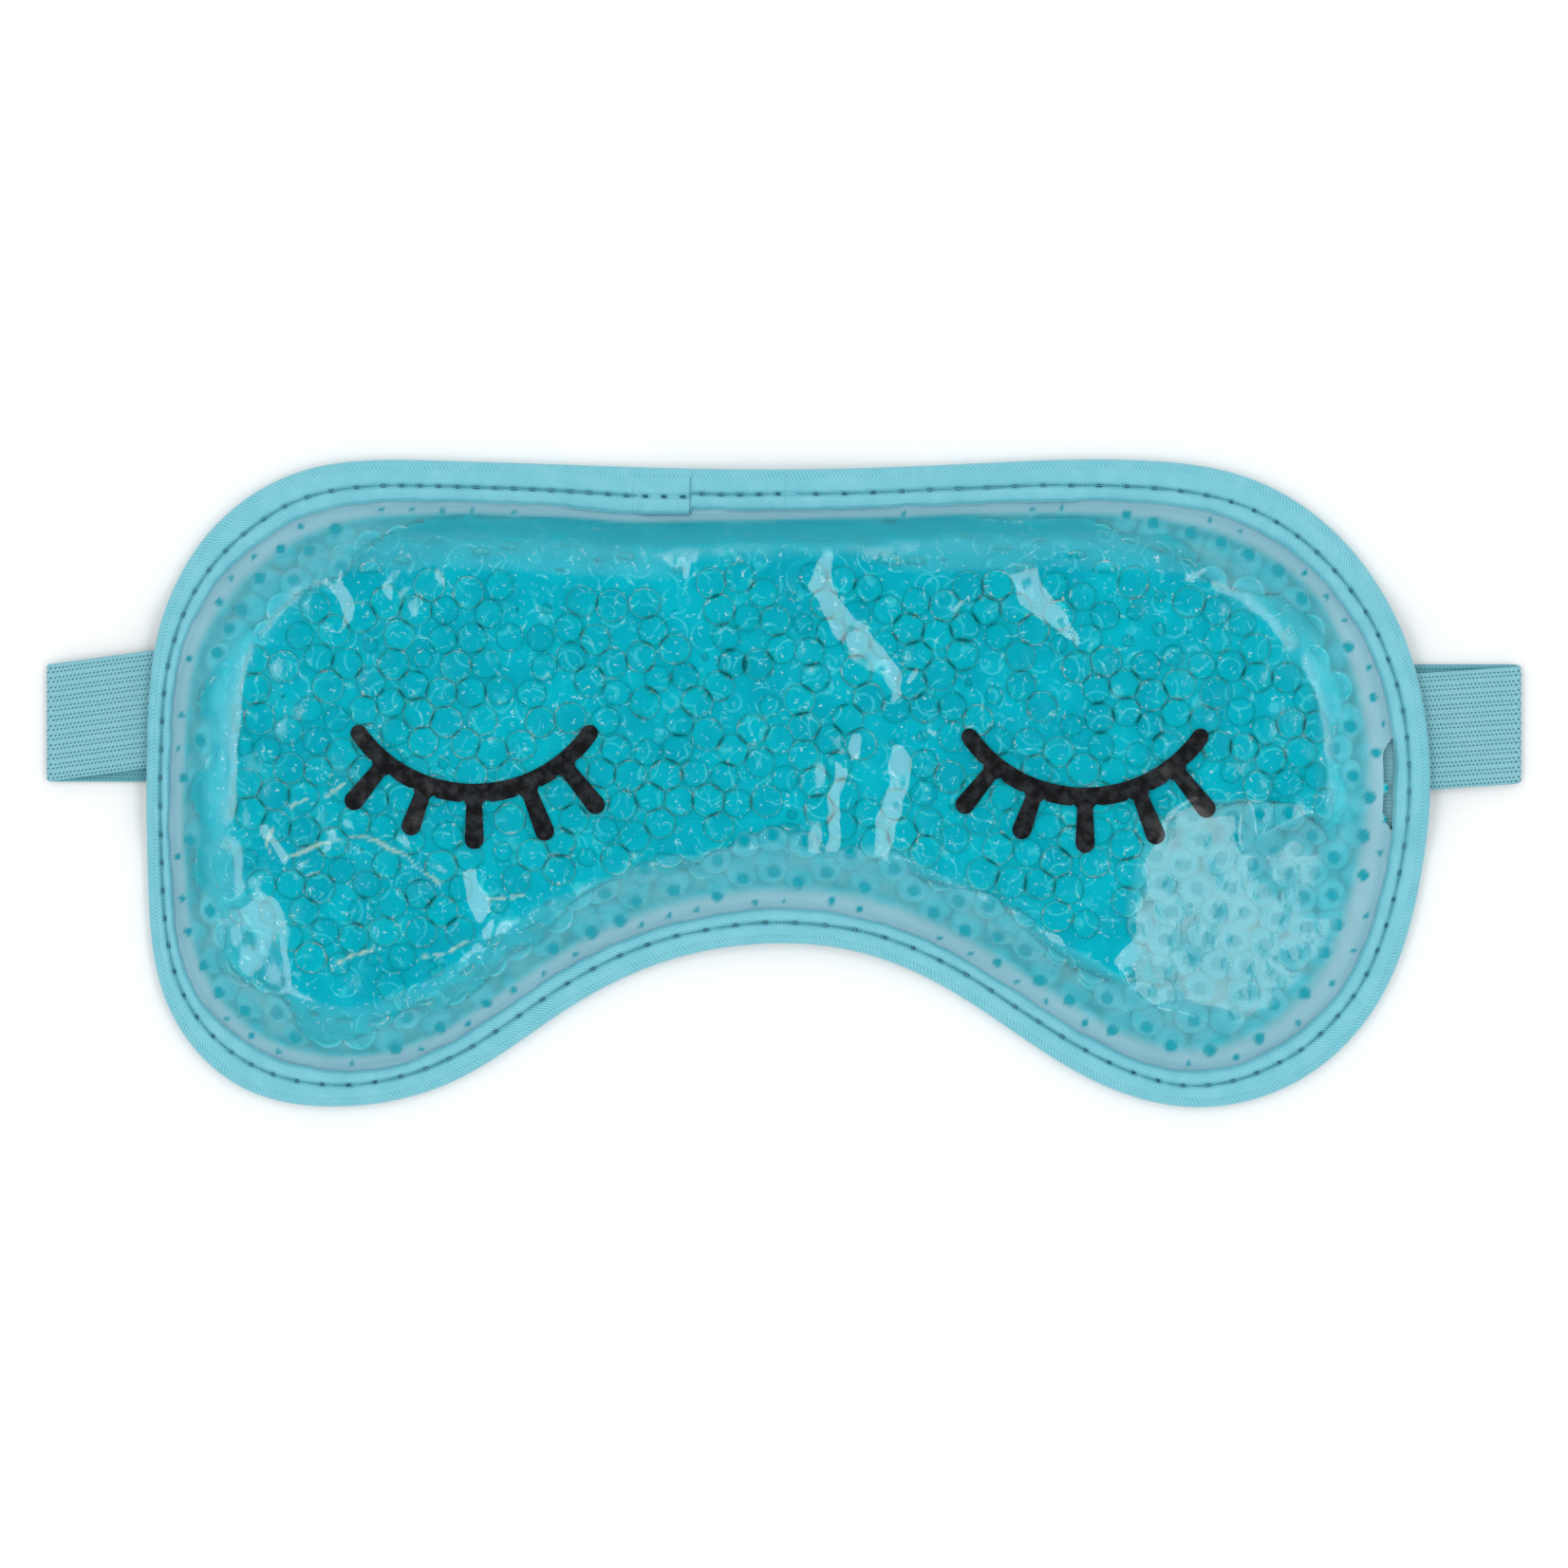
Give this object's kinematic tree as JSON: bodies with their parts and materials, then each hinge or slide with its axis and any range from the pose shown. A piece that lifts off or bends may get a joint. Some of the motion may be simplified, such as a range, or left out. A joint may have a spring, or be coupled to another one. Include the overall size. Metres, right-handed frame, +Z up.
{
  "type": "gel bead eye mask",
  "caption": "Soft eye mask: clear pouch of gel beads bound in satin, with a fabric back, closed-eye print and an elastic head strap; folds in half.",
  "frame": {"origin": "on the surface the mask lies on, below the middle of its overall box, on the fold line", "axes": "+Z up out of the printed face, +X to the right along the strap as the face is looked at, +Y towards the forehead edge"},
  "size_m": [0.2396, 0.1049, 0.0122],
  "materials": {
    "backing_fabric": "brushed knit, matte",
    "clear_film": "clear glossy PVC film",
    "gel_beads": "glossy translucent gel",
    "binding_satin": "satin bias tape",
    "sewing_thread": "spun thread",
    "print_ink": "glossy printed ink",
    "strap_elastic": "knitted elastic, matte"
  },
  "bodies": {
    "left_half": {"backing_left": "backing_fabric", "back_film_left": "clear_film", "bead_fill_left": "gel_beads", "front_film_left": "clear_film", "edge_binding_left": "binding_satin", "needle_thread_left": "sewing_thread", "bobbin_thread_left": "sewing_thread", "eyelash_print_left": "print_ink", "strap_tab_left": "strap_elastic", "strap_tack_left": "sewing_thread", "strap_bend_left": "strap_elastic"},
    "right_half": {"backing_right": "backing_fabric", "back_film_right": "clear_film", "bead_fill_right": "gel_beads", "front_film_right": "clear_film", "edge_binding_right": "binding_satin", "needle_thread_right": "sewing_thread", "bobbin_thread_right": "sewing_thread", "eyelash_print_right": "print_ink", "strap_tab_right": "strap_elastic", "strap_tack_right": "sewing_thread", "strap_bend_right": "strap_elastic"},
    "strap_left": {"strap_run_left": "strap_elastic"},
    "strap_right": {"strap_run_right": "strap_elastic"}
  },
  "joints": [
    {"name": "bridge_fold", "type": "hinge", "parent": "left_half", "child": "right_half", "pos_m": [0, 0.0125, 0.0013], "axis": [0, 1, 0], "range_deg": [0, 170]},
    {"name": "strap_fold_left", "type": "hinge", "parent": "left_half", "child": "strap_left", "pos_m": [-0.11845, 0.0099, 0.00115], "axis": [0, 1, 0], "range_deg": [0, 170], "deforming": ["strap_bend_left"]},
    {"name": "strap_fold_right", "type": "hinge", "parent": "right_half", "child": "strap_right", "pos_m": [0.11845, 0.0099, 0.00115], "axis": [0, 1, 0], "range_deg": [-170, 0], "deforming": ["strap_bend_right"]}
  ],
  "couplings": [
    {"joint": "strap_fold_left", "follows": "bridge_fold", "ratio": 1},
    {"joint": "strap_fold_right", "follows": "bridge_fold", "ratio": -1}
  ]
}
